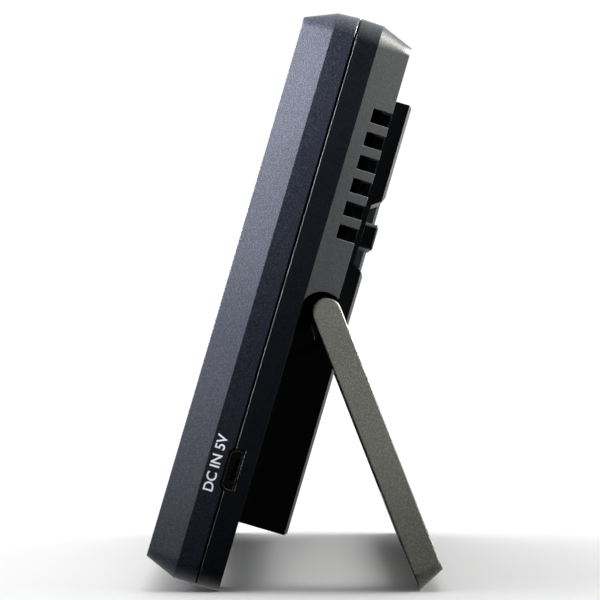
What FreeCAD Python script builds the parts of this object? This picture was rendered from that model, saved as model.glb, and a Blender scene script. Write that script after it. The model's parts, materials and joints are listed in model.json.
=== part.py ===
import FreeCAD, Part
import math
import os

# A desk-top digital photo frame that leans back on a folding U-shaped kickstand.
#
# Everything is drawn in the case's own axes: x to the viewer's right, y = depth d from the
# front face rearwards, z = height h above the case's bottom edge. place() then tilts it all
# back until the case's rear bottom edge and the open stand's tip rest on one level floor.

# ---------------------------------------------------------------- driving dimensions (mm)
BODY_WIDTH = 179.0
BODY_HEIGHT = 110.6
CORNER_RADIUS = 4.5          # of the outline, seen from the front
CHAMFER_INSET = 2.7          # how far both chamfers draw the outline in
FRONT_CREASE = 5.95          # depth where the front chamfer meets the side wall
PARTING = 10.3               # depth of the joint between bezel and rear shell
REAR_CREASE = 14.8           # depth where the side wall ends
REAR_FACE = 21.0             # depth of the chamfered rear face
PLATEAU_FACE = 24.3          # depth of the raised housing's rear face
FRONT_DRAFT = 0.23           # the side walls lean in by this much from the parting forwards
REAR_DRAFT = 0.18            # and by this much from the parting rearwards
GROOVE = 0.4                 # depth of the V groove at the parting
GROOVE_HALF = 0.25           # half the groove's width
WALL = 2.0
LIP = 0.9                    # thickness of the rear shell's locating lip
LIP_REACH = 1.2
FIT = 0.12                   # clearance of the lip inside the bezel

PLATEAU_SIDE = 16.0          # from the case's side to the raised housing
PLATEAU_BOTTOM = 12.9
PLATEAU_BELOW_TOP = 12.4     # from the case's top edge down to the raised housing
NOTCH_FLOOR = 22.1           # depth of the button notch's floor
NOTCH_LENGTH = 42.0          # from the housing's right side inwards
NOTCH_ABOVE_HINGE = 8.9      # to the notch's lower edge at the housing's face
NOTCH_WIDTH = 14.7
NOTCH_SLOPE = 1.6            # how far the notch narrows towards its floor
PLATEAU_CHAMFER = 0.5        # along the edges of the raised housing's rear face

HINGE_DEPTH = 19.6
HINGE_ABOVE_MIDDLE = 0.6
STAND_THICK = 5.5
STAND_OPEN = 37.65           # degrees between the folded and the open stand
STAND_FOOT = 1.0             # height of the folded stand's tip above the case's bottom edge
STAND_BEVEL = 2.2            # the tip and the outer sides slope in by this much
STAND_INSET = 0.65           # outline of the stand's inner face, inside the case outline
STAND_GAP = 0.8              # clearance beside and below the raised housing
STAND_SKIN = 1.5
STAND_RIBS = 4
ARC_GAP = 0.48               # least space between a hinge barrel and the hollow above it
ARC_AHEAD = 0.85             # how far that hollow's middle is in front of the hinge
ARC_BELOW = 0.65             # and below it
PIN_RADIUS = 1.25
PIN_RUNNING = 0.05
PIN_IN_LEG = 8.0
PIN_IN_CASE = 5.0
PEG_RADIUS = 0.7
PEG_ORBIT = 5.0
PEG_LENGTH = 0.8
PEG_CLEAR = 0.12

VENTS = 6
VENT_BELOW_TOP = 17.0        # from the case's top edge to the highest vent's middle
VENT_PITCH = 4.5
VENT_HEIGHT = 2.7
VENT_DEPTH = 17.3            # depth where each vent begins
VENT_REACH = 13.0            # how far each vent cuts in from the side
RIB_REACH = 2.5              # how far the ribs beside the vents stand in from the side wall

LENS_SIDE = 7.5              # from the case's side to the lens
LENS_END = 7.3               # from the case's top and bottom edges to the lens
LENS_THICK = 1.2
LENS_RECESS = 0.15
LENS_CLEAR = 0.15
ADHESIVE = (3.0, 0.15)       # width, thickness of the tape ring
BEZEL_FLOOR = 1.3
WINDOW_BORDER = 11.5         # from the case's outline to the window behind the lens
GASKET = (2.0, 0.3)
PANEL_SIDE = 9.0             # from the case's side to the display glass
PANEL_END = 9.3              # from the case's top and bottom edges to the display glass
PANEL_THICK = 1.4
FILMS = 0.3
GUIDE = 1.6
REFLECTOR = 0.2
TRAY_SKIN = 0.4
TRAY_RIM = 1.5               # how far the tray reaches past the glass
LED_COUNT = 12
LED = (3.0, 0.8, 1.0)
INSULATOR = 0.15
INSULATOR_INSET = (4.5, 6.7)  # inside the glass's sides and bottom

BOARD_THICK = 1.2
BOARD_GAP = 0.35             # from the locating lip to the board's end
BOARD_LOW = 14.0
BOARD_BELOW_SCREWS = 4.0     # the board's long part stops below the side screws
BOARD_ABOVE_NOTCH = 2.5
BOARD_BESIDE_NOTCH = 5.5
SOCKET = (7.9, 2.6, 5.6)     # height along the case, depth, length into the case
SOCKET_HEIGHT = 22.8
SOCKET_SET_BACK = 0.45
SOCKET_SKIN = 0.3
SOCKET_CORNER = 0.75
SOCKET_OPENING_CLEAR = 0.15
CARD = (25.6, 3.0, 24.0)     # memory card slot, in the same order
CARD_CLEAR = 0.2             # from the card slot to the shell behind it
CARD_ABOVE_BOARD = 14.0      # from the board's lower edge to the slot's middle
CARD_MOUTH = 2.4
# Packages on the board: x, height above the chip line, width, height, thickness.
PROCESSOR = (2.0, 0.0, 14.0, 14.0, 1.4)
MEMORY = (20.0, 2.0, 12.0, 8.0, 1.1)
STORAGE = (-30.0, 0.0, 18.0, 12.0, 1.1)
CRYSTAL = (16.0, -6.0, 5.0, 2.6, 1.0)
# Packages near the power socket: x inside the housing's side, height above the board's
# lower edge, width, height, thickness.
REGULATOR = (21.5, 7.0, 4.0, 5.0, 1.5)
INDUCTOR = (29.5, 6.0, 7.0, 7.0, 3.2)
CAPACITOR = (2.5, 6.0, 7.0)  # radius, height, pitch
CAPACITOR_FIRST = 13.5       # from the housing's side to the first one's middle
FLEX = (-32.0, -12.0, 0.3)   # the display cable's left end, right end and thickness
FLEX_CONNECTOR = (24.0, 4.4, 1.8)
TONGUE = (3.8, 0.6, 0.9)     # width, thickness, distance inside the socket's mouth

BUTTON = (7.0, 5.0)          # width, height of a cap
BUTTON_PROUD = 2.6           # how far a cap stands above the notch floor
BUTTON_RIM = 0.8             # how far a button's flange reaches past its cap
BUTTON_SIDE_GAP = 0.3        # from the housing's side wall to the first button's flange
BUTTON_PITCH = 10.0
BUTTON_NAMES = ["menu", "previous", "next", "play"]
BUTTON_FLANGE = 0.8
BUTTON_CLEAR = 0.2
BUTTON_SEAT = 0.02
SWITCH = (6.0, 3.5)          # square side, body height of a tact switch
PLUNGER_RADIUS = 1.75
TRAVEL = 0.4

SCREW_RADIUS = 1.0
SCREW_LENGTH = 8.0
SCREW_HEAD = (1.75, 1.4)     # radius, height
SCREW_SEAT = 12.8
HEAD_CLEAR = 0.15
BOSS_RADIUS = 1.9
COLUMN_WALL = 1.2
HOLE_CLEAR = 0.25
SIDE_SCREW_INSET = 5.2       # the middle pair's distance from the case's sides
SIDE_SCREW_BELOW_HINGE = 2.0
END_SCREW_SIDE = 27.5        # the top and bottom pairs' distance from the case's sides
END_SCREW_INSET = 5.5        # and from its top and bottom edges
BOARD_SCREW_HEAD = 0.8
BOARD_SCREW_BITE = 5.0       # how far a board screw goes past the board
POST_RADIUS = 2.2
POST_INSET = 6.0             # from the board's lower edge to the lower board screws

# ---------------------------------------------------------------- places worked out from them
HALF_WIDTH = BODY_WIDTH / 2
MID_HEIGHT = BODY_HEIGHT / 2
HINGE_HEIGHT = MID_HEIGHT + HINGE_ABOVE_MIDDLE
STAND_REACH = HINGE_HEIGHT - STAND_FOOT
PLATEAU_HALF = HALF_WIDTH - PLATEAU_SIDE
PLATEAU_TOP = BODY_HEIGHT - PLATEAU_BELOW_TOP
NOTCH_LOW = HINGE_HEIGHT + NOTCH_ABOVE_HINGE
NOTCH_HIGH = NOTCH_LOW + NOTCH_WIDTH
VENT_TOP = BODY_HEIGHT - VENT_BELOW_TOP
LENS = (BODY_WIDTH - 2 * LENS_SIDE, BODY_HEIGHT - 2 * LENS_END, LENS_THICK)
WINDOW = (BODY_WIDTH - 2 * WINDOW_BORDER, BODY_HEIGHT - 2 * WINDOW_BORDER)
PANEL = (BODY_WIDTH - 2 * PANEL_SIDE, BODY_HEIGHT - 2 * PANEL_END, PANEL_THICK)
TRAY = (PANEL[0] + 2 * TRAY_RIM, PANEL[1] + 2 * TRAY_RIM)
LENS_SEAT = LENS_RECESS + LENS[2] + ADHESIVE[1]
BEZEL_BACK = LENS_SEAT + BEZEL_FLOOR
BEZEL_INSIDE = FRONT_DRAFT + WALL
PANEL_FRONT = BEZEL_BACK + GASKET[1]
FILMS_FRONT = PANEL_FRONT + PANEL[2]
GUIDE_FRONT = FILMS_FRONT + FILMS
REFLECTOR_FRONT = GUIDE_FRONT + GUIDE
TRAY_FRONT = REFLECTOR_FRONT + REFLECTOR
TRAY_BACK = TRAY_FRONT + TRAY_SKIN
BOARD_REAR = REAR_CREASE - WALL - CARD_CLEAR - CARD[1]
BOARD_FRONT = BOARD_REAR - BOARD_THICK
STAND_INNER = HINGE_DEPTH - STAND_THICK / 2
STAND_OUTER = HINGE_DEPTH + STAND_THICK / 2
ARC_RADIUS = STAND_THICK / 2 + math.hypot(ARC_AHEAD, ARC_BELOW) + ARC_GAP
LEG_INNER = PLATEAU_HALF + STAND_GAP
ARC_DEPTH = HINGE_DEPTH - ARC_AHEAD
SHELL_END = HINGE_HEIGHT - ARC_BELOW
END_SCREW = HALF_WIDTH - END_SCREW_SIDE
SIDE_SCREW = HALF_WIDTH - SIDE_SCREW_INSET
SIDE_SCREW_HEIGHT = HINGE_HEIGHT - SIDE_SCREW_BELOW_HINGE
CASE_SCREWS = [(side * x, h) for side in (-1, 1) for x, h in
               ((END_SCREW, END_SCREW_INSET), (SIDE_SCREW, SIDE_SCREW_HEIGHT),
                (END_SCREW, BODY_HEIGHT - END_SCREW_INSET))]
BOARD_HALF = HALF_WIDTH - BEZEL_INSIDE - FIT - LIP - BOARD_GAP
BOARD_MID = SIDE_SCREW_HEIGHT - BOARD_BELOW_SCREWS
BOARD_HIGH = NOTCH_HIGH + BOARD_ABOVE_NOTCH
BOARD_STEP = PLATEAU_HALF - NOTCH_LENGTH - BOARD_BESIDE_NOTCH
CHIP_LINE = (BOARD_LOW + BOARD_MID) / 2
CARD_HEIGHT = BOARD_LOW + CARD_ABOVE_BOARD
BOARD_SCREWS = [(-PLATEAU_HALF + 17.5, BOARD_LOW + POST_INSET),
                (PLATEAU_HALF - 7.5, BOARD_LOW + POST_INSET),
                (-8.0, BOARD_MID - 4.5), (PLATEAU_HALF - 7.5, BOARD_MID - 4.5),
                (BOARD_STEP + 6.0, BOARD_HIGH - 4.0)]
BUTTON_HEIGHT = (NOTCH_LOW + NOTCH_HIGH) / 2
BUTTON_FIRST = PLATEAU_HALF - WALL - BUTTON_SIDE_GAP - BUTTON_RIM - BUTTON[0] / 2
BUTTON_XS = [BUTTON_FIRST - BUTTON_PITCH * i for i in range(len(BUTTON_NAMES))]
FLANGE_REAR = NOTCH_FLOOR - WALL - BUTTON_SEAT
PLUNGER_REAR = FLANGE_REAR - BUTTON_FLANGE


# ---------------------------------------------------------------- shape helpers
def box(x0, x1, d0, d1, h0, h1):
    """A block between two x, two depths and two heights."""
    return Part.makeBox(x1 - x0, d1 - d0, h1 - h0, FreeCAD.Vector(x0, d0, h0))


def rod(radius, x, h, d0, d1):
    """A cylinder that runs along the depth."""
    return Part.makeCylinder(radius, d1 - d0, FreeCAD.Vector(x, d0, h), FreeCAD.Vector(0, 1, 0))


def axle(radius, x0, x1, d, h):
    """A cylinder that runs along x."""
    return Part.makeCylinder(radius, x1 - x0, FreeCAD.Vector(x0, d, h), FreeCAD.Vector(1, 0, 0))


def outline(width, height, radius, d, x=0.0, h=None):
    """A rounded rectangle across the depth, as a closed wire."""
    h = MID_HEIGHT if h is None else h
    a, b = width / 2 - radius, height / 2 - radius
    edges = []
    corners = [(a, b, 0), (-a, b, 90), (-a, -b, 180), (a, -b, 270)]
    for i, (cx, cz, start) in enumerate(corners):
        centre = FreeCAD.Vector(x + cx, d, h + cz)
        pts = []
        for degrees in (start, start + 45, start + 90):
            t = math.radians(degrees)
            pts.append(centre + FreeCAD.Vector(math.cos(t), 0, math.sin(t)) * radius)
        edges.append(Part.Arc(*pts).toShape())
        nx, nz, turn = corners[(i + 1) % 4]
        t = math.radians(turn)
        step = FreeCAD.Vector(math.cos(t), 0, math.sin(t)) * radius
        edges.append(Part.makeLine(pts[2], FreeCAD.Vector(x + nx, d, h + nz) + step))
    return Part.Wire(edges)


def case_outline(inset, d):
    """The case's outline drawn in by an inset, at a depth."""
    radius = max(CORNER_RADIUS - inset, 0.6)
    return outline(BODY_WIDTH - 2 * inset, BODY_HEIGHT - 2 * inset, radius, d)


def taper(inset0, d0, inset1, d1):
    """The case's section between two depths, sloping from one inset to the other."""
    return Part.makeLoft([case_outline(inset0, d0), case_outline(inset1, d1)], True, True)


def plate(width, height, d0, d1, radius=1.0, x=0.0, h=None):
    """A flat plate with rounded corners."""
    face = Part.Face(outline(width, height, radius, d0, x, h))
    return face.extrude(FreeCAD.Vector(0, d1 - d0, 0))


def frame_ring(width, height, border, d0, d1):
    """A plate with a window: a flat rectangular ring."""
    return plate(width, height, d0, d1).cut(
        plate(width - 2 * border, height - 2 * border, d0 - 1, d1 + 1, 0.6))


def profile_along_x(points, x0, x1):
    """A prism along x from (depth, height) points."""
    corners = [FreeCAD.Vector(x0, d, h) for d, h in points]
    face = Part.Face(Part.makePolygon(corners + corners[:1]))
    return face.extrude(FreeCAD.Vector(x1 - x0, 0, 0))


def fuse(shapes):
    """One solid from several that meet."""
    return shapes[0].multiFuse(shapes[1:]).removeSplitter()


# ---------------------------------------------------------------- openings shared by both shells
def socket_outline(grow):
    """The power socket's section: a rectangle whose two front corners are cut."""
    half = SOCKET[0] / 2 + grow
    low, high = BOARD_REAR - grow, BOARD_REAR + SOCKET[1] + grow
    return [(low + SOCKET_CORNER, SOCKET_HEIGHT - half), (high, SOCKET_HEIGHT - half),
            (high, SOCKET_HEIGHT + half), (low + SOCKET_CORNER, SOCKET_HEIGHT + half),
            (low, SOCKET_HEIGHT + half - SOCKET_CORNER),
            (low, SOCKET_HEIGHT - half + SOCKET_CORNER)]


def side_openings():
    """The holes for the power socket on the right and the memory card on the left."""
    socket = profile_along_x(socket_outline(SOCKET_OPENING_CLEAR),
                             HALF_WIDTH - 2 * WALL, HALF_WIDTH + 1)
    card_half = CARD[0] / 2
    card = box(-HALF_WIDTH - 1, -HALF_WIDTH + 2 * WALL, BOARD_REAR + 0.2,
               BOARD_REAR + 0.2 + CARD_MOUTH + 0.3, CARD_HEIGHT - card_half,
               CARD_HEIGHT + card_half)
    return [socket, card]


# ---------------------------------------------------------------- display stack
def front_bezel():
    outer = [taper(CHAMFER_INSET, 0, FRONT_DRAFT, FRONT_CREASE),
             taper(FRONT_DRAFT, FRONT_CREASE, 0, PARTING - GROOVE_HALF),
             taper(0, PARTING - GROOVE_HALF, GROOVE, PARTING)]
    shell = fuse(outer)
    slope = CHAMFER_INSET / FRONT_CREASE
    hollow = fuse([taper(CHAMFER_INSET + WALL - slope * BEZEL_BACK + 0.3, BEZEL_BACK,
                         BEZEL_INSIDE, FRONT_CREASE),
                   taper(BEZEL_INSIDE, FRONT_CREASE, BEZEL_INSIDE, PARTING + 1)])
    cuts = [hollow,
            plate(LENS[0] + 2 * LENS_CLEAR, LENS[1] + 2 * LENS_CLEAR, -1, LENS_SEAT, 2.0),
            plate(WINDOW[0], WINDOW[1], -1, BEZEL_BACK + 1)]
    shell = shell.cut(cuts)
    bosses = [rod(BOSS_RADIUS, x, h, BEZEL_BACK - 0.5, PARTING) for x, h in CASE_SCREWS]
    shell = fuse([shell] + bosses)
    pilots = [rod(SCREW_RADIUS + 0.01, x, h, SCREW_SEAT - SCREW_LENGTH - 0.5, PARTING + 1)
              for x, h in CASE_SCREWS]
    return shell.cut(pilots + side_openings())


def lens():
    return plate(LENS[0], LENS[1], LENS_RECESS, LENS_RECESS + LENS[2], 2.0)


def lens_adhesive():
    return frame_ring(LENS[0] - 1, LENS[1] - 1, ADHESIVE[0], LENS_RECESS + LENS[2], LENS_SEAT)


def lcd_gasket():
    return frame_ring(PANEL[0], PANEL[1], GASKET[0], BEZEL_BACK, PANEL_FRONT)


def led_strip():
    """A flexible strip along the light guide's bottom edge with its white LEDs."""
    bottom = MID_HEIGHT - TRAY[1] / 2 + TRAY_SKIN
    strip = box(-PANEL[0] / 2 + 4, PANEL[0] / 2 - 4, GUIDE_FRONT, GUIDE_FRONT + GUIDE,
                bottom, bottom + 0.2)
    leds = []
    pitch = (PANEL[0] - 20) / (LED_COUNT - 1)
    for i in range(LED_COUNT):
        x = -PANEL[0] / 2 + 10 + pitch * i
        leds.append(box(x - LED[0] / 2, x + LED[0] / 2, GUIDE_FRONT + 0.2,
                        GUIDE_FRONT + 0.2 + LED[2], bottom + 0.2, bottom + 0.2 + LED[1]))
    return fuse([strip] + leds)


def light_guide():
    """The acrylic plate that spreads the LEDs' light, with room for them below it."""
    low = MID_HEIGHT - TRAY[1] / 2 + TRAY_SKIN + 0.2 + LED[1] + 0.1
    high = MID_HEIGHT + PANEL[1] / 2
    return box(-PANEL[0] / 2, PANEL[0] / 2, GUIDE_FRONT, REFLECTOR_FRONT, low, high)


def lcd_tray():
    """The folded metal tray that carries the display."""
    tray = plate(TRAY[0], TRAY[1], PANEL_FRONT, TRAY_BACK)
    inside = plate(TRAY[0] - 2 * TRAY_SKIN, TRAY[1] - 2 * TRAY_SKIN, PANEL_FRONT - 1,
                   TRAY_FRONT, 0.6)
    return tray.cut(inside)


def lcd_flex():
    """The display's flat cable, from the tray's bottom edge up to its connector."""
    x0, x1, thick = FLEX
    start = MID_HEIGHT - TRAY[1] / 2 - 0.1
    bend = TRAY_BACK + INSULATOR
    under = BOARD_LOW - 1.0
    behind = BOARD_REAR + 0.5
    return fuse([box(x0, x1, GUIDE_FRONT, bend + thick, start - thick, start),
                 box(x0, x1, bend, bend + thick, start - thick, under),
                 box(x0, x1, bend, behind + thick, under, under + thick),
                 box(x0, x1, behind, behind + thick, under, BOARD_LOW + 1.5)])


def insulator_sheet():
    half = PANEL[0] / 2 - INSULATOR_INSET[0]
    return box(-half, half, TRAY_BACK, TRAY_BACK + INSULATOR, PANEL_END + INSULATOR_INSET[1],
               BODY_HEIGHT - 2 * PANEL_END)


# ---------------------------------------------------------------- electronics
def main_board():
    """An L-shaped board: a long low part and an upper part behind the buttons."""
    board = fuse([box(-BOARD_HALF, BOARD_HALF, BOARD_FRONT, BOARD_REAR, BOARD_LOW, BOARD_MID),
                  box(BOARD_STEP, LEG_INNER, BOARD_FRONT, BOARD_REAR, BOARD_MID - 1,
                      BOARD_HIGH)])
    holes = [rod(SCREW_RADIUS + HOLE_CLEAR, x, h, BOARD_FRONT - 1, BOARD_REAR + 1)
             for x, h in BOARD_SCREWS]
    return board.cut(holes)


def chip(x, h, width, height, thick):
    """A square-cornered package standing on the board's rear face."""
    return box(x - width / 2, x + width / 2, BOARD_REAR, BOARD_REAR + thick,
               h - height / 2, h + height / 2)


def package(x, up, width, height, thick):
    """A package placed from the chip line."""
    return chip(x, CHIP_LINE + up, width, height, thick)


def power_package(inside, up, width, height, thick):
    """A package placed from the housing's side and the board's lower edge."""
    return chip(PLATEAU_HALF - inside, BOARD_LOW + up, width, height, thick)


def capacitors():
    """Three electrolytic cans beside the power socket."""
    radius, height, pitch = CAPACITOR
    first = PLATEAU_HALF - CAPACITOR_FIRST
    return Part.makeCompound([rod(radius, first - pitch * i, CHIP_LINE + 1.2, BOARD_REAR,
                                  BOARD_REAR + height) for i in range(3)])


def inductor():
    """A moulded inductor whose upright corners are cut."""
    core = power_package(*INDUCTOR)
    upright = [e for e in core.Edges if abs(e.Vertexes[0].Y - e.Vertexes[1].Y) > 1]
    return core.makeChamfer(1.0, upright)


def crystal():
    x, up, width, height, thick = CRYSTAL
    return plate(width, height, BOARD_REAR, BOARD_REAR + thick, 1.2, x, CHIP_LINE + up)


def flex_connector():
    """The clamp-down connector that takes the display's flat cable."""
    x0, x1, thick = FLEX
    body = chip((x0 + x1) / 2, BOARD_LOW + 4.2, *FLEX_CONNECTOR)
    return body.cut(box(x0 - 0.2, x1 + 0.2, BOARD_REAR + 0.4, BOARD_REAR + 0.6 + thick,
                        BOARD_LOW, BOARD_LOW + 3.0))


def socket_shell():
    """The power socket's folded metal shell, open towards the right."""
    mouth = HALF_WIDTH - SOCKET_SET_BACK
    outer = profile_along_x(socket_outline(0), mouth - SOCKET[2], mouth)
    inner = profile_along_x(socket_outline(-SOCKET_SKIN), mouth - SOCKET[2] + SOCKET_SKIN,
                            mouth + 1)
    return outer.cut(inner)


def socket_tongue():
    """The contact tongue inside the power socket."""
    mouth = HALF_WIDTH - SOCKET_SET_BACK
    front = BOARD_REAR + SOCKET[1] / 2 + 0.05
    back = mouth - SOCKET[2] + SOCKET_SKIN
    width, thick, inside = TONGUE
    return box(back, mouth - inside, front, front + thick, SOCKET_HEIGHT - width / 2,
               SOCKET_HEIGHT + width / 2)


def card_slot_shell():
    """The memory card slot's thin metal cover."""
    x0, half = -BOARD_HALF, CARD[0] / 2
    cover = box(x0, x0 + CARD[2], BOARD_REAR, BOARD_REAR + CARD[1], CARD_HEIGHT - half - 0.3,
                CARD_HEIGHT + half + 0.3)
    return cover.cut(box(x0 - 1, x0 + CARD[2] - 0.3, BOARD_REAR - 1, BOARD_REAR + CARD[1] - 0.3,
                         CARD_HEIGHT - half, CARD_HEIGHT + half))


def card_slot_contacts():
    """The plastic contact block at the back of the memory card slot."""
    x1 = -BOARD_HALF + CARD[2] - 0.3
    return box(x1 - 6.0, x1, BOARD_REAR, BOARD_REAR + 0.9, CARD_HEIGHT - CARD[0] / 2,
               CARD_HEIGHT + CARD[0] / 2)


def switch_bodies():
    """The tact switches under the buttons."""
    side, tall = SWITCH
    return Part.makeCompound([chip(x, BUTTON_HEIGHT, side, side, tall) for x in BUTTON_XS])


# ---------------------------------------------------------------- rear shell
def notch(grow=0.0):
    """The button notch: open at the housing's right side, closed at its inner end."""
    low, high = NOTCH_LOW - grow, NOTCH_HIGH + grow
    floor, out = NOTCH_FLOOR - grow, PLATEAU_FACE + 2
    run = NOTCH_SLOPE / (PLATEAU_FACE - NOTCH_FLOOR)
    extra = run * (out - PLATEAU_FACE)
    sink = run * (PLATEAU_FACE - floor)
    points = [(out, low - extra), (floor, low + sink), (floor, high - sink),
              (out, high + extra)]
    inner = PLATEAU_HALF - NOTCH_LENGTH - grow
    return profile_along_x(points, inner, PLATEAU_HALF + 1)


def upper_section(inset, inset_rear, d0, d1, bottom):
    """The chamfered upper part of the shell, above a height."""
    block = taper(inset, d0, inset_rear, d1)
    return block.common(box(-BODY_WIDTH, BODY_WIDTH, d0 - 1, d1 + 1, bottom, BODY_HEIGHT + 1))


def barrel_clearances():
    """The round hollows in the shell above the stand's two hinge barrels."""
    return [axle(ARC_RADIUS, x0, x1, ARC_DEPTH, SHELL_END) for x0, x1 in
            ((PLATEAU_HALF, HALF_WIDTH + 1), (-HALF_WIDTH - 1, -PLATEAU_HALF))]


def peg_grooves():
    """Arc grooves in the housing's sides that stop the stand at both ends of its swing."""
    width = PEG_RADIUS + PEG_CLEAR
    x0 = PLATEAU_HALF - PEG_LENGTH + STAND_GAP - PEG_CLEAR
    depth = PLATEAU_HALF - x0
    grooves = []
    for start in (x0, -PLATEAU_HALF - 1):
        length = depth + 1
        ring = axle(PEG_ORBIT + width, start, start + length, HINGE_DEPTH, HINGE_HEIGHT)
        ring = ring.cut(axle(PEG_ORBIT - width, start - 1, start + length + 1, HINGE_DEPTH,
                             HINGE_HEIGHT))
        far = 4 * PEG_ORBIT
        swing = math.radians(STAND_OPEN)
        wedge = [(HINGE_DEPTH, HINGE_HEIGHT), (HINGE_DEPTH, HINGE_HEIGHT - far),
                 (HINGE_DEPTH + far * math.sin(swing), HINGE_HEIGHT - far * math.cos(swing))]
        ring = ring.common(profile_along_x(wedge, start - 1, start + length + 1))
        ends = [axle(width, start, start + length, d, h) for d, h in
                (peg_place(0.0), peg_place(STAND_OPEN))]
        grooves.append(fuse([ring] + ends))
    return grooves


def peg_place(degrees):
    """Depth and height of a stop peg's middle when the stand is open by an angle."""
    t = math.radians(degrees)
    return HINGE_DEPTH + PEG_ORBIT * math.sin(t), HINGE_HEIGHT - PEG_ORBIT * math.cos(t)


def vents():
    """The vent slots through the rear chamfer, on both sides."""
    slots = []
    for i in range(VENTS):
        middle = VENT_TOP - VENT_PITCH * i
        low, high = middle - VENT_HEIGHT / 2, middle + VENT_HEIGHT / 2
        for x0, x1 in ((HALF_WIDTH - VENT_REACH, HALF_WIDTH + 1),
                       (-HALF_WIDTH - 1, -HALF_WIDTH + VENT_REACH)):
            slots.append(box(x0, x1, VENT_DEPTH, REAR_FACE + 1, low, high))
    return slots


def shell_outside():
    """The rear shell's outer form, solid."""
    band = [taper(GROOVE, PARTING, 0, PARTING + GROOVE_HALF),
            taper(0, PARTING + GROOVE_HALF, REAR_DRAFT, REAR_CREASE)]
    upper = upper_section(REAR_DRAFT, CHAMFER_INSET, REAR_CREASE, REAR_FACE, SHELL_END)
    upper = upper.cut(barrel_clearances())
    housing = box(-PLATEAU_HALF, PLATEAU_HALF, REAR_CREASE - 1, PLATEAU_FACE, PLATEAU_BOTTOM,
                  PLATEAU_TOP)
    housing = housing.cut(notch())
    rim = [e for e in housing.Edges if abs(e.BoundBox.YMin - PLATEAU_FACE) < 1e-6
           and abs(e.BoundBox.YMax - PLATEAU_FACE) < 1e-6]
    return fuse(band + [upper, housing.makeChamfer(PLATEAU_CHAMFER, rim)])


def shell_inside():
    """The hollow inside the rear shell."""
    skin = REAR_DRAFT + WALL
    band = taper(skin, PARTING - 1, skin, REAR_CREASE - WALL)
    upper = upper_section(skin, CHAMFER_INSET + WALL, REAR_CREASE - WALL - 0.01,
                          REAR_FACE - WALL, SHELL_END + WALL)
    inner = PLATEAU_HALF - WALL
    walls = [axle(ARC_RADIUS + WALL, x0, x1, ARC_DEPTH, SHELL_END) for x0, x1 in
             ((inner, HALF_WIDTH + 1), (-HALF_WIDTH - 1, -inner))]
    upper = upper.cut(walls)
    housing = box(-PLATEAU_HALF + WALL, PLATEAU_HALF - WALL, REAR_CREASE - WALL - 1,
                  PLATEAU_FACE - WALL, PLATEAU_BOTTOM + WALL, PLATEAU_TOP - WALL)
    return [band, upper, housing.cut(notch(WALL))]


def screw_columns():
    """Tubes in the rear shell that the case screws pass down."""
    radius = SCREW_HEAD[0] + HEAD_CLEAR + COLUMN_WALL
    return [rod(radius, x, h, PARTING, REAR_CREASE) for x, h in CASE_SCREWS]


def top_columns():
    """The upper columns go on to the chamfered rear face."""
    radius = SCREW_HEAD[0] + HEAD_CLEAR + COLUMN_WALL
    return [rod(radius, x, h, REAR_CREASE - 1, REAR_FACE - 0.5) for x, h in CASE_SCREWS
            if h > SHELL_END]


def screw_ways():
    """Each case screw's clearance hole and the wider way for its head."""
    ways = []
    for x, h in CASE_SCREWS:
        ways.append(rod(SCREW_RADIUS + HOLE_CLEAR, x, h, PARTING - 1, SCREW_SEAT + 1))
        ways.append(rod(SCREW_HEAD[0] + HEAD_CLEAR, x, h, SCREW_SEAT, PLATEAU_FACE + 1))
    return ways


def board_posts():
    """Posts inside the housing that the main board is screwed to."""
    posts = []
    for x, h in BOARD_SCREWS:
        under_notch = x > PLATEAU_HALF - NOTCH_LENGTH and h > NOTCH_LOW - WALL
        top = (NOTCH_FLOOR if under_notch else PLATEAU_FACE) - WALL + 0.5
        posts.append(rod(POST_RADIUS, x, h, BOARD_REAR, top))
    return posts


def pin_bosses():
    """Blocks behind the housing's side walls that hold the hinge pins."""
    blocks = []
    for x0, x1 in ((PLATEAU_HALF - PIN_IN_CASE - 1, PLATEAU_HALF - 1),
                   (-PLATEAU_HALF + 1, -PLATEAU_HALF + PIN_IN_CASE + 1)):
        blocks.append(box(x0, x1, HINGE_DEPTH - 2 * PIN_RADIUS, PLATEAU_FACE - WALL + 0.5,
                          HINGE_HEIGHT - 2 * PIN_RADIUS, HINGE_HEIGHT + 2 * PIN_RADIUS))
    return blocks


def side_ribs():
    """Ribs that carry the housing's side walls inwards and close off the vents' chambers."""
    low = REAR_CREASE - WALL - RIB_REACH
    top = PLATEAU_TOP + WALL
    return [box(x0, x0 + WALL, low, REAR_FACE - WALL / 2, SHELL_END, top)
            for x0 in (PLATEAU_HALF - WALL, -PLATEAU_HALF)]


def lip_ring():
    """The lip that locates the rear shell inside the bezel."""
    outer = BEZEL_INSIDE + FIT
    ring = taper(outer, PARTING - LIP_REACH, outer, PARTING + 0.8)
    ring = ring.cut(taper(outer + LIP, PARTING - LIP_REACH - 1, outer + LIP, PARTING + 2))
    root = taper(WALL / 2, PARTING + 0.3, WALL / 2, PARTING + 1.3)
    root = root.cut(taper(outer + LIP, PARTING - 1, outer + LIP, PARTING + 2))
    ways = [box(HALF_WIDTH - 6, HALF_WIDTH + 1, 0, PARTING + 4, SOCKET_HEIGHT - 6,
                SOCKET_HEIGHT + 6),
            box(-HALF_WIDTH - 1, -HALF_WIDTH + 6, 0, PARTING + 4,
                CARD_HEIGHT - CARD[0] / 2 - 2, CARD_HEIGHT + CARD[0] / 2 + 2)]
    ways += [rod(BOSS_RADIUS + 0.4, x, h, 0, PARTING + 0.01) for x, h in CASE_SCREWS]
    return fuse([ring.cut(ways), root.cut(ways[:2])])


def button_holes():
    half_w, half_h = BUTTON[0] / 2 + BUTTON_CLEAR, BUTTON[1] / 2 + BUTTON_CLEAR
    return [plate(2 * half_w, 2 * half_h, NOTCH_FLOOR - WALL - 1, NOTCH_FLOOR + 1, 0.9, x,
                  BUTTON_HEIGHT) for x in BUTTON_XS]


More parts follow.
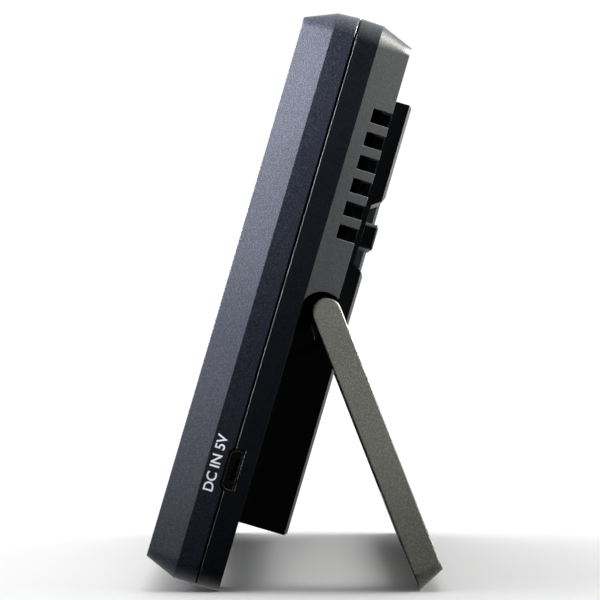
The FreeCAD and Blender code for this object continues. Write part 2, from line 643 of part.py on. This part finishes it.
def rear_shell():
    shell = shell_outside().cut(shell_inside())
    inside_parts = (screw_columns() + top_columns() + board_posts() + pin_bosses()
                    + side_ribs())
    shell = fuse([shell, lip_ring()] + inside_parts)
    pins = [axle(PIN_RADIUS, PLATEAU_HALF - PIN_IN_CASE, PLATEAU_HALF + 1, HINGE_DEPTH,
                 HINGE_HEIGHT),
            axle(PIN_RADIUS, -PLATEAU_HALF - 1, -PLATEAU_HALF + PIN_IN_CASE, HINGE_DEPTH,
                 HINGE_HEIGHT)]
    pilots = [rod(SCREW_RADIUS + 0.01, x, h, BOARD_REAR - 1, BOARD_REAR + BOARD_SCREW_BITE + 2)
              for x, h in BOARD_SCREWS]
    return shell.cut(vents() + screw_ways() + button_holes() + peg_grooves() + pins + pilots
                     + side_openings())


# ---------------------------------------------------------------- fasteners and buttons
def case_screws():
    screws = []
    for x, h in CASE_SCREWS:
        head = rod(SCREW_HEAD[0], x, h, SCREW_SEAT, SCREW_SEAT + SCREW_HEAD[1])
        shank = rod(SCREW_RADIUS, x, h, SCREW_SEAT - SCREW_LENGTH, SCREW_SEAT + 0.2)
        recess = cross_recess(x, h, SCREW_SEAT + SCREW_HEAD[1], 1)
        screws.append(head.fuse(shank).removeSplitter().cut(recess))
    return Part.makeCompound(screws)


def board_screws():
    """Short screws from the board's front side into the rear shell's posts."""
    screws = []
    for x, h in BOARD_SCREWS:
        top = BOARD_FRONT - BOARD_SCREW_HEAD
        head = rod(SCREW_HEAD[0], x, h, top, BOARD_FRONT)
        shank = rod(SCREW_RADIUS, x, h, BOARD_FRONT - 0.2, BOARD_REAR + BOARD_SCREW_BITE)
        screws.append(head.fuse(shank).removeSplitter().cut(cross_recess(x, h, top, -1)))
    return Part.makeCompound(screws)


def cross_recess(x, h, d, side):
    """A cross-shaped recess in a screw head; side is the way the head faces."""
    deep = 0.6
    d0, d1 = (d - deep, d + 1) if side > 0 else (d - 1, d + deep)
    return fuse([box(x - 1.0, x + 1.0, d0, d1, h - 0.2, h + 0.2),
                 box(x - 0.2, x + 0.2, d0, d1, h - 1.0, h + 1.0)])


def button_cap(x):
    """A button: cap, neck through the notch floor, and the flange that keeps it in."""
    rear = NOTCH_FLOOR + BUTTON_PROUD
    cap = plate(BUTTON[0], BUTTON[1], FLANGE_REAR - 0.1, rear, 0.7, x, BUTTON_HEIGHT)
    rim = [e for e in cap.Edges if abs(e.BoundBox.YMin - rear) < 1e-6
           and abs(e.BoundBox.YMax - rear) < 1e-6]
    cap = cap.makeFillet(0.4, rim)
    flange = plate(BUTTON[0] + 2 * BUTTON_RIM, BUTTON[1] + 2 * BUTTON_RIM, PLUNGER_REAR,
                   FLANGE_REAR, 1.0, x, BUTTON_HEIGHT)
    return fuse([cap, flange])


def switch_plunger(x):
    """The tact switch's plunger under a button."""
    base = BOARD_REAR + SWITCH[1]
    return rod(PLUNGER_RADIUS, x, BUTTON_HEIGHT, base + TRAVEL + 0.1, PLUNGER_REAR)


# ---------------------------------------------------------------- stand
def stand_outline(inset, d):
    """The stand's outer outline at a depth, from the tip up past the hinge."""
    x = HALF_WIDTH - STAND_INSET - inset
    low = HINGE_HEIGHT - STAND_REACH + inset
    high = HINGE_HEIGHT + STAND_REACH
    radius = max(CORNER_RADIUS - STAND_INSET - inset, 0.6)
    return outline(2 * x, high - low, radius, d, 0.0, (low + high) / 2)


def kickstand():
    """A U of two legs and a crossbar, hollow towards the case, with round upper ends."""
    body = Part.makeLoft([stand_outline(0, STAND_INNER),
                          stand_outline(STAND_BEVEL, STAND_OUTER)], True, True)
    below = box(-BODY_WIDTH, BODY_WIDTH, 0, BODY_WIDTH, -BODY_HEIGHT, HINGE_HEIGHT)
    barrel = axle(STAND_THICK / 2, -BODY_WIDTH, BODY_WIDTH, HINGE_DEPTH, HINGE_HEIGHT)
    body = body.common(below.fuse(barrel))
    crossbar_top = PLATEAU_BOTTOM - STAND_GAP
    body = body.cut(box(-LEG_INNER, LEG_INNER, 0, BODY_WIDTH, crossbar_top, BODY_HEIGHT))
    leg_hollow_top = HINGE_HEIGHT - PEG_ORBIT - 2 * STAND_SKIN
    hollow = Part.makeLoft([stand_outline(STAND_SKIN, STAND_INNER - 0.1),
                            stand_outline(STAND_BEVEL + STAND_SKIN, STAND_OUTER
                                          - STAND_SKIN)], True, True)
    hollow = hollow.common(box(-BODY_WIDTH, BODY_WIDTH, 0, BODY_WIDTH, -BODY_HEIGHT,
                               leg_hollow_top))
    core = LEG_INNER + STAND_SKIN
    hollow = hollow.cut(box(-core, core, 0, BODY_WIDTH, crossbar_top - STAND_SKIN,
                            BODY_HEIGHT))
    hollow = hollow.cut(stand_ribs(leg_hollow_top, crossbar_top))
    pegs = [axle(PEG_RADIUS, LEG_INNER - PEG_LENGTH, LEG_INNER + 0.5, *peg_place(0.0)),
            axle(PEG_RADIUS, -LEG_INNER - 0.5, -LEG_INNER + PEG_LENGTH, *peg_place(0.0))]
    bore = PIN_RADIUS + PIN_RUNNING
    bores = [axle(bore, LEG_INNER - 1, LEG_INNER + PIN_IN_LEG, HINGE_DEPTH, HINGE_HEIGHT),
             axle(bore, -LEG_INNER - PIN_IN_LEG, -LEG_INNER + 1, HINGE_DEPTH, HINGE_HEIGHT)]
    return fuse([body.cut(hollow)] + pegs).cut(bores)


def stand_ribs(top, crossbar_top):
    """Cross ribs inside the legs and upright ribs inside the crossbar."""
    ribs = []
    pitch = (top - crossbar_top) / STAND_RIBS
    for i in range(STAND_RIBS):
        h = crossbar_top + pitch * i
        ribs.append(box(-BODY_WIDTH, BODY_WIDTH, 0, BODY_WIDTH, h - 0.5, h + 0.5))
    count = 2 * STAND_RIBS
    step = 2 * LEG_INNER / count
    for i in range(count + 1):
        x = -LEG_INNER + step * i
        ribs.append(box(x - 0.5, x + 0.5, 0, BODY_WIDTH, -BODY_HEIGHT, crossbar_top))
    return ribs


def hinge_pins():
    """Two plain steel pins, pressed into the housing and turning in the legs."""
    reach = LEG_INNER + PIN_IN_LEG - 0.3
    hold = PLATEAU_HALF - PIN_IN_CASE
    return Part.makeCompound([axle(PIN_RADIUS, hold, reach, HINGE_DEPTH, HINGE_HEIGHT),
                              axle(PIN_RADIUS, -reach, -hold, HINGE_DEPTH, HINGE_HEIGHT)])


# ---------------------------------------------------------------- placing and writing
def contact_points():
    """The case's rear bottom edge and the open stand's tip, as (depth, height)."""
    swing = math.radians(STAND_OPEN)
    across, along = -STAND_THICK / 2, -STAND_REACH
    tip = (HINGE_DEPTH + across * math.cos(swing) - along * math.sin(swing),
           HINGE_HEIGHT + across * math.sin(swing) + along * math.cos(swing))
    return (REAR_CREASE, REAR_DRAFT), tip


def place(shapes):
    """Tilt everything back onto its floor line and centre it over the origin."""
    edge, tip = contact_points()
    tilt = math.degrees(math.atan2(tip[1] - edge[1], tip[0] - edge[0]))
    axis = FreeCAD.Vector(1, 0, 0)
    for shape in shapes.values():
        shape.rotate(FreeCAD.Vector(0, edge[0], edge[1]), axis, -tilt)
        shape.translate(FreeCAD.Vector(0, -edge[0], -edge[1]))
    whole = Part.makeCompound(list(shapes.values())).optimalBoundingBox(False)
    for shape in shapes.values():
        shape.translate(FreeCAD.Vector(0, -(whole.YMin + whole.YMax) / 2, 0))


def all_nodes():
    """Every node's solid in the case's own axes, the stand already open."""
    nodes = {
        "front_bezel": front_bezel(),
        "screen_lens": lens(),
        "lens_adhesive": lens_adhesive(),
        "lcd_gasket": lcd_gasket(),
        "lcd_glass": plate(PANEL[0], PANEL[1], PANEL_FRONT, FILMS_FRONT, 0.5),
        "optical_films": plate(PANEL[0] - 1, PANEL[1] - 1, FILMS_FRONT, GUIDE_FRONT,
                               0.5),
        "light_guide": light_guide(),
        "led_strip": led_strip(),
        "reflector_sheet": plate(PANEL[0], PANEL[1], REFLECTOR_FRONT, TRAY_FRONT, 0.5),
        "lcd_tray": lcd_tray(),
        "lcd_flex_cable": lcd_flex(),
        "insulator_sheet": insulator_sheet(),
        "main_board": main_board(),
        "processor": package(*PROCESSOR),
        "memory_chip": package(*MEMORY),
        "storage_chip": package(*STORAGE),
        "power_regulator": power_package(*REGULATOR),
        "power_inductor": inductor(),
        "capacitors": capacitors(),
        "clock_crystal": crystal(),
        "flex_connector": flex_connector(),
        "power_socket_shell": socket_shell(),
        "power_socket_tongue": socket_tongue(),
        "card_slot_shell": card_slot_shell(),
        "card_slot_contacts": card_slot_contacts(),
        "switch_bodies": switch_bodies(),
        "rear_shell": rear_shell(),
        "case_screws": case_screws(),
        "board_screws": board_screws(),
        "hinge_pins": hinge_pins(),
        "kickstand": kickstand(),
    }
    for name, x in zip(BUTTON_NAMES, BUTTON_XS):
        nodes[name + "_button"] = button_cap(x)
        nodes[name + "_plunger"] = switch_plunger(x)
    nodes["kickstand"].rotate(FreeCAD.Vector(0, HINGE_DEPTH, HINGE_HEIGHT),
                              FreeCAD.Vector(1, 0, 0), STAND_OPEN)
    return nodes


def write(nodes):
    os.makedirs("parts", exist_ok=True)
    for name, shape in nodes.items():
        shape.exportStep("parts/" + name + ".step")


nodes = all_nodes()
place(nodes)
write(nodes)
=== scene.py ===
import json

import bpy
import numpy as np
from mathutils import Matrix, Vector


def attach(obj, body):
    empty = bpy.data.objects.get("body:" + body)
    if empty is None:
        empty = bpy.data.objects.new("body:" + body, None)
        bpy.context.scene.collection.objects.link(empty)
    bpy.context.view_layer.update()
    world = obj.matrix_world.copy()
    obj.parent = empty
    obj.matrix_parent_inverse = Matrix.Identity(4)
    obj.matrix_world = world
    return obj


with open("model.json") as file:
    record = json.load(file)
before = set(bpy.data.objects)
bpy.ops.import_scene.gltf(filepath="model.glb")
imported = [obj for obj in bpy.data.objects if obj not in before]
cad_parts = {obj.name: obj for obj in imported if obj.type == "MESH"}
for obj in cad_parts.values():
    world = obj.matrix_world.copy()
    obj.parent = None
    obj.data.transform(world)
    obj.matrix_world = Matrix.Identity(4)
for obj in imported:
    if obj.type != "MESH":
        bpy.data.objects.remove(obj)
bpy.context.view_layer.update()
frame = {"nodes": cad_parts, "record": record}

MM = 0.001

# ------------------------------------------------------------------ the case's own axes
# The case leans back. Its own axes are x to the viewer's right, depth from the front face
# rearwards and height along the case. The rear housing's mount says how they lie.
mounts = {m["name"]: m for m in frame["record"]["mounts"]}
housing = mounts["housing_rear_face"]
REARWARD = np.array(housing["axis"], float)
UPWARD = np.array([0.0, -REARWARD[2], REARWARD[1]])
HOUSING_DEPTH = 24.3          # mm, where that mount lies
HOUSING_HEIGHT = 45.0
CASE_ORIGIN = (np.array(housing["pos_m"], float) - REARWARD * HOUSING_DEPTH * MM
               - UPWARD * HOUSING_HEIGHT * MM)


def place(x, depth, height):
    """Row coordinates in metres of points given in the case's own axes in millimetres."""
    x, depth, height = np.broadcast_arrays(*(np.asarray(v, float) for v in (x, depth, height)))
    return (CASE_ORIGIN + np.stack([x, 0 * x, 0 * x], -1) * MM
            + depth[..., None] * MM * REARWARD + height[..., None] * MM * UPWARD)


# ------------------------------------------------------------------ materials
def srgb(text):
    """A hex colour as linear RGBA."""
    v = np.array([int(text[i:i + 2], 16) for i in (1, 3, 5)]) / 255
    linear = np.where(v <= 0.04045, v / 12.92, ((v + 0.055) / 1.055) ** 2.4)
    return (*linear, 1.0)


def add(tree, kind, settings=(), links=()):
    """One node, with its properties and input values set and its inputs linked."""
    node = tree.nodes.new(kind)
    for key, value in dict(settings).items():
        if isinstance(key, str) and hasattr(node, key):
            setattr(node, key, value)
        else:
            node.inputs[key].default_value = value
    for key, source in dict(links).items():
        tree.links.new(source, node.inputs[key])
    return node


def new_material(name, **surface):
    """A material with one Principled shader; surface holds its uniform values."""
    material = bpy.data.materials.new(name)
    material.use_nodes = True
    tree = material.node_tree
    shader = tree.nodes["Principled BSDF"]
    for key, value in surface.items():
        shader.inputs[key.replace("_", " ")].default_value = value
    return material, tree, shader


def object_noise(tree, size, detail, roughness=0.5):
    """Noise over the object's own coordinates, with features of a size in mm."""
    where = add(tree, "ShaderNodeTexCoord").outputs["Object"]
    noise = add(tree, "ShaderNodeTexNoise", {"Scale": 1 / (size * MM), "Detail": detail,
                                             "Roughness": roughness}, {"Vector": where})
    return noise.outputs["Fac"]


def vary_gloss(tree, shader, noise, roughness, swing):
    """Swings the surface's roughness a little either way by a noise."""
    matt = add(tree, "ShaderNodeMapRange", {"From Min": 0.3, "From Max": 0.7,
                                            "To Min": roughness - swing,
                                            "To Max": roughness + swing}, {"Value": noise})
    tree.links.new(matt.outputs[0], shader.inputs["Roughness"])


FLOW_SIZE = 35                # mm: the broad marks that flowing plastic leaves in the gloss


def spark_eroded_abs(name, dark, light, roughness, grit, depth, edge):
    """Moulded ABS from a spark-eroded tool: a fine even grain with paler grain tops.

    grit is the grain's width in mm, drawn as wide as it needs to show; depth is its relief
    and edge the radius that every corner of the moulding seems to have, both in mm.
    """
    material, tree, shader = new_material(name, IOR=1.54, Specular_IOR_Level=0.25)
    grain = object_noise(tree, grit, 2.0, 0.6)
    tops = add(tree, "ShaderNodeMapRange", {"From Min": 0.42, "From Max": 0.72},
               {"Value": grain})
    # A Mix node's colours are its inputs 6 and 7 and its output 2.
    tint = add(tree, "ShaderNodeMix", {"data_type": "RGBA", 6: srgb(dark), 7: srgb(light)},
               {0: tops.outputs[0]})
    vary_gloss(tree, shader, object_noise(tree, FLOW_SIZE, 3.0), roughness, 0.04)
    soft_edges = add(tree, "ShaderNodeBevel", {"samples": 6, "Radius": edge * MM})
    relief = add(tree, "ShaderNodeBump", {"Strength": 0.6, "Distance": depth * MM},
                 {"Height": grain, "Normal": soft_edges.outputs[0]})
    tree.links.new(tint.outputs[2], shader.inputs["Base Color"])
    tree.links.new(relief.outputs[0], shader.inputs["Normal"])
    return material


# The bezel: a cool blue-black skin whose grain sparkles a little where light skims it.
bezel_abs = spark_eroded_abs("spark_eroded_abs_bezel", "#0d0f16", "#2b2e39", 0.46, 0.26, 0.035,
                             0.22)
# The rear shell: the same moulding a shade darker, as painted shade for its dim side wall;
# the step in colour also makes the parting line read as a line.
shell_abs = spark_eroded_abs("spark_eroded_abs_shell", "#07090f", "#1c1f27", 0.46, 0.24, 0.03,
                             0.15)
# The kickstand: a coarser, greyer grain with softly rounded edges.
stand_abs = spark_eroded_abs("spark_eroded_abs_stand", "#101110", "#2b2d2c", 0.46, 0.28, 0.035,
                             0.5)
# The button caps: smoother and blacker than the shell round them.
button_abs = spark_eroded_abs("satin_abs_button", "#0c0e11", "#1a1d20", 0.38, 0.40, 0.005, 0.2)


def plain_moulding(name, colour, roughness, grain=0.6, specular=0.5):
    """A smooth moulded or printed surface with slight unevenness in its gloss.

    grain is the size of that unevenness in mm, specular how strongly the surface mirrors.
    """
    material, tree, shader = new_material(name, Base_Color=srgb(colour), IOR=1.5,
                                          Specular_IOR_Level=specular)
    vary_gloss(tree, shader, object_noise(tree, grain, 3.0), roughness, 0.05)
    return material


METAL_RELIEF = 0.004          # mm: how far plated and ground surfaces rise and fall


def worked_metal(name, colour, roughness, grain):
    """Plated or ground metal, slightly uneven in gloss and surface over grain mm."""
    material, tree, shader = new_material(name, Base_Color=srgb(colour), Metallic=1.0)
    unevenness = object_noise(tree, grain, 4.0)
    vary_gloss(tree, shader, unevenness, roughness, 0.08)
    relief = add(tree, "ShaderNodeBump", {"Strength": 0.3, "Distance": METAL_RELIEF * MM},
                 {"Height": unevenness})
    tree.links.new(relief.outputs[0], shader.inputs["Normal"])
    return material


# The lens: clear and glossy, so the front mirrors the room over a dark screen.
lens_acrylic, _, _ = new_material("hard_coated_acrylic", Base_Color=srgb("#f4f6f7"), IOR=1.49,
                                  Specular_IOR_Level=0.25, Roughness=0.0,
                                  Transmission_Weight=1.0)
# The switched-off display and its border: near-black, the border a touch blacker.
display_black = plain_moulding("antiglare_polariser", "#06070b", 0.3, 12.0, 0.12)
border_ink = plain_moulding("screen_printed_black_ink", "#030304", 0.4, 8.0, 0.1)
# The socket's marking: slightly bluish white, matt and opaque.
white_ink = plain_moulding("pad_printed_white_ink", "#fbfcff", 0.5, 0.3)
# Black nylon of plungers, switches and contact blocks: dull, so openings stay dark.
inside_plastic = plain_moulding("moulded_nylon_black", "#0a0a0b", 0.4)
# The circuit board's glossy green, and the dull black of the packages on it.
board_mask = plain_moulding("green_solder_mask", "#0c3d22", 0.3)
epoxy = plain_moulding("moulded_epoxy", "#131313", 0.6, 0.2)
# The backlight's white films, its clear plate and the amber cable that feeds the display.
white_film = plain_moulding("diffusing_film", "#e9e9e6", 0.5)
clear_guide = plain_moulding("light_guide_acrylic", "#dfe6ea", 0.1)
amber_film = plain_moulding("polyimide_film", "#8a4a12", 0.35)
# The cable's connector in cream, and soft black foam that kills light at the edges.
cream_nylon = plain_moulding("natural_nylon", "#cfc6ab", 0.45)
foam = plain_moulding("closed_cell_foam", "#0b0b0b", 0.9, 0.3)
# Metals: a warm bright socket rim, silver cans, a grey tray, dark screws, bright pins.
socket_plate = worked_metal("nickel_plated_steel", "#a9a7a2", 0.3, 0.5)
can_aluminium = worked_metal("drawn_aluminium", "#b9bcc0", 0.35, 0.4)
tray_steel = worked_metal("rolled_steel_sheet", "#9b9ea2", 0.4, 0.6)
black_zinc = worked_metal("black_zinc_plated_steel", "#2b2c2f", 0.38, 0.3)
ground_steel = worked_metal("ground_steel", "#a7aaae", 0.25, 0.2)

finishes = {
    "front_bezel": bezel_abs, "rear_shell": shell_abs, "kickstand": stand_abs,
    "screen_lens": lens_acrylic, "lens_adhesive": foam, "lcd_gasket": foam,
    "lcd_glass": display_black, "optical_films": white_film, "light_guide": clear_guide,
    "led_strip": white_film, "reflector_sheet": white_film, "lcd_tray": tray_steel,
    "lcd_flex_cable": amber_film, "insulator_sheet": inside_plastic,
    "main_board": board_mask, "processor": epoxy, "memory_chip": epoxy,
    "storage_chip": epoxy, "power_regulator": epoxy, "power_inductor": epoxy,
    "capacitors": can_aluminium, "clock_crystal": socket_plate,
    "flex_connector": cream_nylon, "power_socket_shell": socket_plate,
    "power_socket_tongue": inside_plastic, "card_slot_shell": socket_plate,
    "card_slot_contacts": inside_plastic, "switch_bodies": inside_plastic,
    "case_screws": black_zinc, "board_screws": black_zinc, "hinge_pins": ground_steel,
}


# How far the outer pieces' edges are rounded, in mm.
ROUNDING = {"front_bezel": 0.35, "rear_shell": 0.2, "kickstand": 0.25,
            "power_socket_shell": 0.06}
BUTTON_ROUNDING = 0.08
SHARP_TURN = 17               # degrees: an edge that turns by more than this is rounded
WELD_REACH = 0.002            # mm: vertices closer than this become one


def round_edges(obj, width):
    """Welds a mesh's seams and rounds its sharp edges by a width in mm."""
    weld = obj.modifiers.new("weld", "WELD")
    weld.merge_threshold = WELD_REACH * MM
    bevel = obj.modifiers.new("rounded_edges", "BEVEL")
    bevel.width = width * MM
    bevel.segments = 2
    bevel.limit_method = "ANGLE"
    bevel.angle_limit = np.radians(SHARP_TURN)
    bevel.use_clamp_overlap = True
    bevel.miter_outer = "MITER_ARC"
    shade = obj.modifiers.new("flat_faces_stay_flat", "WEIGHTED_NORMAL")
    shade.mode = "FACE_AREA"
    shade.weight = 50
    shade.keep_sharp = False


def finish_nodes():
    """Gives every CAD node its material, and the outer ones softly rounded edges."""
    for name, node in frame["nodes"].items():
        is_button = name.endswith("_button")
        node.data.materials.clear()
        node.data.materials.append(
            finishes.get(name, button_abs if is_button else inside_plastic))
        width = BUTTON_ROUNDING if is_button else ROUNDING.get(name)
        if width:
            round_edges(node, width)


# ------------------------------------------------------------------ new pieces
def new_object(name, data):
    """An object for a mesh, a text, a light or a camera, linked to the scene."""
    obj = bpy.data.objects.new(name, data)
    bpy.context.scene.collection.objects.link(obj)
    return obj


def new_mesh(name, verts, faces, material):
    """A mesh from whole arrays of vertices (metres) and faces."""
    mesh = bpy.data.meshes.new(name)
    mesh.from_pydata(np.asarray(verts).reshape(-1, 3).tolist(), [], faces)
    mesh.validate()
    mesh.materials.append(material)
    return mesh


def print_on_case(name, mesh):
    """A printed piece that moves with the case."""
    piece = new_object(name, mesh)
    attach(piece, "case")


def rounded_rectangle(width, height, radius, steps=8):
    """Points round a rectangle whose corners are quarter circles, anticlockwise."""
    turn = np.radians(np.linspace(0, 90, steps + 1))
    quarters = np.arange(4)[:, None] * np.pi / 2 + turn
    signs = np.array([(1, 1), (-1, 1), (-1, -1), (1, -1)], float)
    centres = signs * [width / 2 - radius, height / 2 - radius]
    xs = centres[:, :1] + radius * np.cos(quarters)
    ys = centres[:, 1:] + radius * np.sin(quarters)
    return np.stack([xs.ravel(), ys.ravel()], -1)


def flat_ring(outer, inner, front, back):
    """A closed flat ring between two outlines with as many points each.

    Its four loops are outer front, inner front, inner back and outer back; each point is
    joined to the next round the loop and to the same point on the next loop.
    """
    loops = [(outer, front), (inner, front), (inner, back), (outer, back)]
    verts = np.stack([place(p[:, 0], depth, p[:, 1]) for p, depth in loops])
    count = len(outer)
    i, j = np.meshgrid(np.arange(4), np.arange(count), indexing="ij")
    i2, j2 = (i + 1) % 4, (j + 1) % count
    quads = np.stack([i * count + j, i * count + j2, i2 * count + j2, i2 * count + j], -1)
    return verts, quads.reshape(-1, 4).tolist()


# The printed border, in mm. Each outline is a width, a height and a corner radius.
MIDDLE_HEIGHT = 55.3          # of the screen, along the case
BORDER_OUTSIDE = (163.4, 95.4, 1.8)
PICTURE_AREA = (154.2, 85.9, 0.4)
BORDER_FRONT, BORDER_BACK = 1.36, 1.38


def screen_border():
    """The black ink frame printed on the lens's back, round the picture area."""
    shift = [0, MIDDLE_HEIGHT]
    outer = rounded_rectangle(*BORDER_OUTSIDE) + shift
    inner = rounded_rectangle(*PICTURE_AREA) + shift
    verts, faces = flat_ring(outer, inner, BORDER_FRONT, BORDER_BACK)
    mesh = new_mesh("screen_border_print", verts, faces, border_ink)
    print_on_case("screen_border_print", mesh)


CAPS_OF_SIZE = 0.7            # the height of the plain font's capitals, over its size
STROKE_GAIN = 0.045           # mm: how much bolder the strokes are than the plain font's
INK_HALF = 0.012              # mm: half the ink's thickness


def printed_text(name, words, cap_height, centre, across, up, outward, material):
    """Words in thin ink: text turned into a mesh, then laid on a plane by its axes."""
    curve = bpy.data.curves.new(name, "FONT")
    curve.body = words
    curve.size = cap_height / CAPS_OF_SIZE
    curve.align_x = "CENTER"
    curve.offset = STROKE_GAIN
    curve.extrude = INK_HALF
    maker = new_object(name + "_maker", curve)
    mesh = bpy.data.meshes.new_from_object(
        maker.evaluated_get(bpy.context.evaluated_depsgraph_get()))
    bpy.data.objects.remove(maker)
    flat = np.empty(len(mesh.vertices) * 3)
    mesh.vertices.foreach_get("co", flat)
    flat = flat.reshape(-1, 3)
    flat[:, 1] -= cap_height / 2
    solid = centre + MM * (flat[:, :1] * across + flat[:, 1:2] * up + flat[:, 2:] * outward)
    mesh.vertices.foreach_set("co", solid.ravel())
    mesh.materials.clear()
    mesh.materials.append(material)
    return mesh


# The bezel's side wall and the marking on it, in mm.
HALF_WIDTH = 89.5
WALL_DRAFT = 0.23             # the wall leans in by this much
WALL_RUN = 4.1                # over this much depth, forwards
WALL_END = 10.05              # from this depth
MARKING_DEPTH = 7.5
MARKING_HEIGHT = 23.2
MARKING_CAPS = 1.85           # height of its capitals
INK_LIFT = 0.004


def socket_marking():
    """The voltage marking on the bezel's side wall, reading upwards beside the socket."""
    lean = WALL_DRAFT / WALL_RUN
    sideways = np.array([1.0, 0, 0])
    outward = sideways - lean * REARWARD
    outward /= np.linalg.norm(outward)
    up = -(REARWARD + lean * sideways)
    up /= np.linalg.norm(up)
    wall = HALF_WIDTH - lean * (WALL_END - MARKING_DEPTH)
    centre = place(wall + INK_LIFT, MARKING_DEPTH, MARKING_HEIGHT)
    mesh = printed_text("socket_voltage_print", "DC IN 5V", MARKING_CAPS, centre, UPWARD, up,
                        outward, white_ink)
    print_on_case("socket_voltage_print", mesh)


# ------------------------------------------------------------------ stage, lights, camera
STAGE_REACH = 4.0             # m: half the floor's width, and the screen's radius
SCREEN_TURN = 80              # degrees, either way from the far right
SCREEN_STEPS = 32


def stage_piece(name, verts, faces, material):
    """A part of the set. It lights nothing, so the object's side walls stay deep."""
    piece = new_object(name, new_mesh(name, verts, faces, material))
    piece.visible_diffuse = False
    piece.visible_glossy = False
    return piece


def pale_floor():
    """A level square sheet of paper."""
    paper, _, _ = new_material("pale_paper_sweep", Base_Color=srgb("#f0f0f0"), Roughness=0.9)
    corners = STAGE_REACH * np.array([(-1, -1, 0), (1, -1, 0), (1, 1, 0), (-1, 1, 0)])
    return stage_piece("floor", corners, [(0, 1, 2, 3)], paper)


def backlit_screen():
    """White fabric lit from behind, which curves round the far right of the floor.

    It is part of an upright cylinder: x = R cos a, y = R sin a, with z from 0 to R.
    """
    fabric, _, _ = new_material("backlit_white_fabric", Base_Color=srgb("#000000"),
                                Specular_IOR_Level=0.0, Emission_Strength=1.0,
                                Emission_Color=srgb("#ffffff"))
    angle = np.radians(np.linspace(-SCREEN_TURN, SCREEN_TURN, SCREEN_STEPS + 1))
    low = STAGE_REACH * np.stack([np.cos(angle), np.sin(angle), 0 * angle], -1)
    high = low + [0, 0, STAGE_REACH]
    row = SCREEN_STEPS + 1
    faces = [(i, i + 1, i + row + 1, i + row) for i in range(SCREEN_STEPS)]
    screen = stage_piece("backdrop", np.stack([low, high]), faces, fabric)
    screen.visible_shadow = False


def studio_world():
    """A white studio behind and beside the object, almost unlit on its right.

    The dark side is what the side walls mirror, and it keeps them deep.
    """
    world = bpy.data.worlds.new("studio")
    world.use_nodes = True
    bpy.context.scene.world = world
    tree = world.node_tree
    where = add(tree, "ShaderNodeTexCoord").outputs["Generated"]
    split = add(tree, "ShaderNodeSeparateXYZ", {}, {0: where})
    fade = add(tree, "ShaderNodeMapRange", {"From Min": 0.1, "From Max": 0.4, "To Min": 1.05,
                                            "To Max": 0.01, "interpolation_type": "SMOOTHSTEP"},
               {"Value": split.outputs["X"]})
    background = tree.nodes["Background"]
    background.inputs["Color"].default_value = srgb("#ffffff")
    tree.links.new(fade.outputs[0], background.inputs["Strength"])


def aim(obj, target):
    """Turns a light or camera so that its -Z axis points at a target."""
    way = Vector(target) - obj.location
    obj.rotation_euler = way.to_track_quat("-Z", "Y").to_euler()


def area_light(name, place_at, target, size, power, spread, colour):
    """A soft rectangular light that faces a point, its beam narrowed to an angle."""
    data = bpy.data.lights.new(name, "AREA")
    data.shape = "RECTANGLE"
    data.size, data.size_y = size
    data.energy = power
    data.spread = np.radians(spread)
    data.color = srgb(colour)[:3]
    light = new_object(name, data)
    light.location = place_at
    aim(light, target)
    return light


def softboxes(floor):
    """Two narrow softboxes that skim the side walls, from the front and from behind."""
    front = area_light("front_softbox", place_at=(0.131, -0.38, 0.20),
                       target=(0.09, 0.0, 0.13), size=(0.03, 0.12), power=0.98, spread=33,
                       colour="#eceffb")
    rear = area_light("rear_softbox", place_at=(0.070, 0.41, 0.23),
                      target=(0.082, 0.0, 0.10), size=(0.02, 0.14), power=1.5, spread=42,
                      colour="#fcfbee")
    # Neither lights the floor, where so narrow a beam would leave a patch.
    spared = bpy.data.collections.new("not_lit_by_softboxes")
    spared.objects.link(floor)
    spared.collection_objects[0].light_linking.link_state = "EXCLUDE"
    for light in (front, rear):
        light.light_linking.receiver_collection = spared


def overhead_bank():
    """A broad even light from above, whose shadow under the object is soft."""
    data = bpy.data.lights.new("overhead_bank", "SUN")
    data.energy = 1.9
    data.angle = np.radians(110)
    bank = new_object("overhead_bank", data)
    bank.location = (-0.5, -0.3, 1.2)
    aim(bank, (0, 0, 0))


CAMERA_DISTANCE = 0.7815      # m to the right of the object's middle
CAMERA_SHIFT = 0.0010         # m rearwards
CAMERA_HEIGHT = 0.0545        # m
LENS_LENGTH = 223             # mm, on a 36 mm sensor


def side_camera():
    """A long lens, level, square to the case's right side."""
    data = bpy.data.cameras.new("side_camera")
    data.lens = LENS_LENGTH
    data.sensor_width = 36
    data.clip_start = 0.05
    data.clip_end = 50
    camera = new_object("side_camera", data)
    camera.location = (CAMERA_DISTANCE, CAMERA_SHIFT, CAMERA_HEIGHT)
    aim(camera, (0, CAMERA_SHIFT, CAMERA_HEIGHT))
    bpy.context.scene.camera = camera


finish_nodes()
screen_border()
socket_marking()
floor = pale_floor()
backlit_screen()
studio_world()
softboxes(floor)
overhead_bank()
side_camera()
bpy.context.scene.view_settings.view_transform = "Standard"
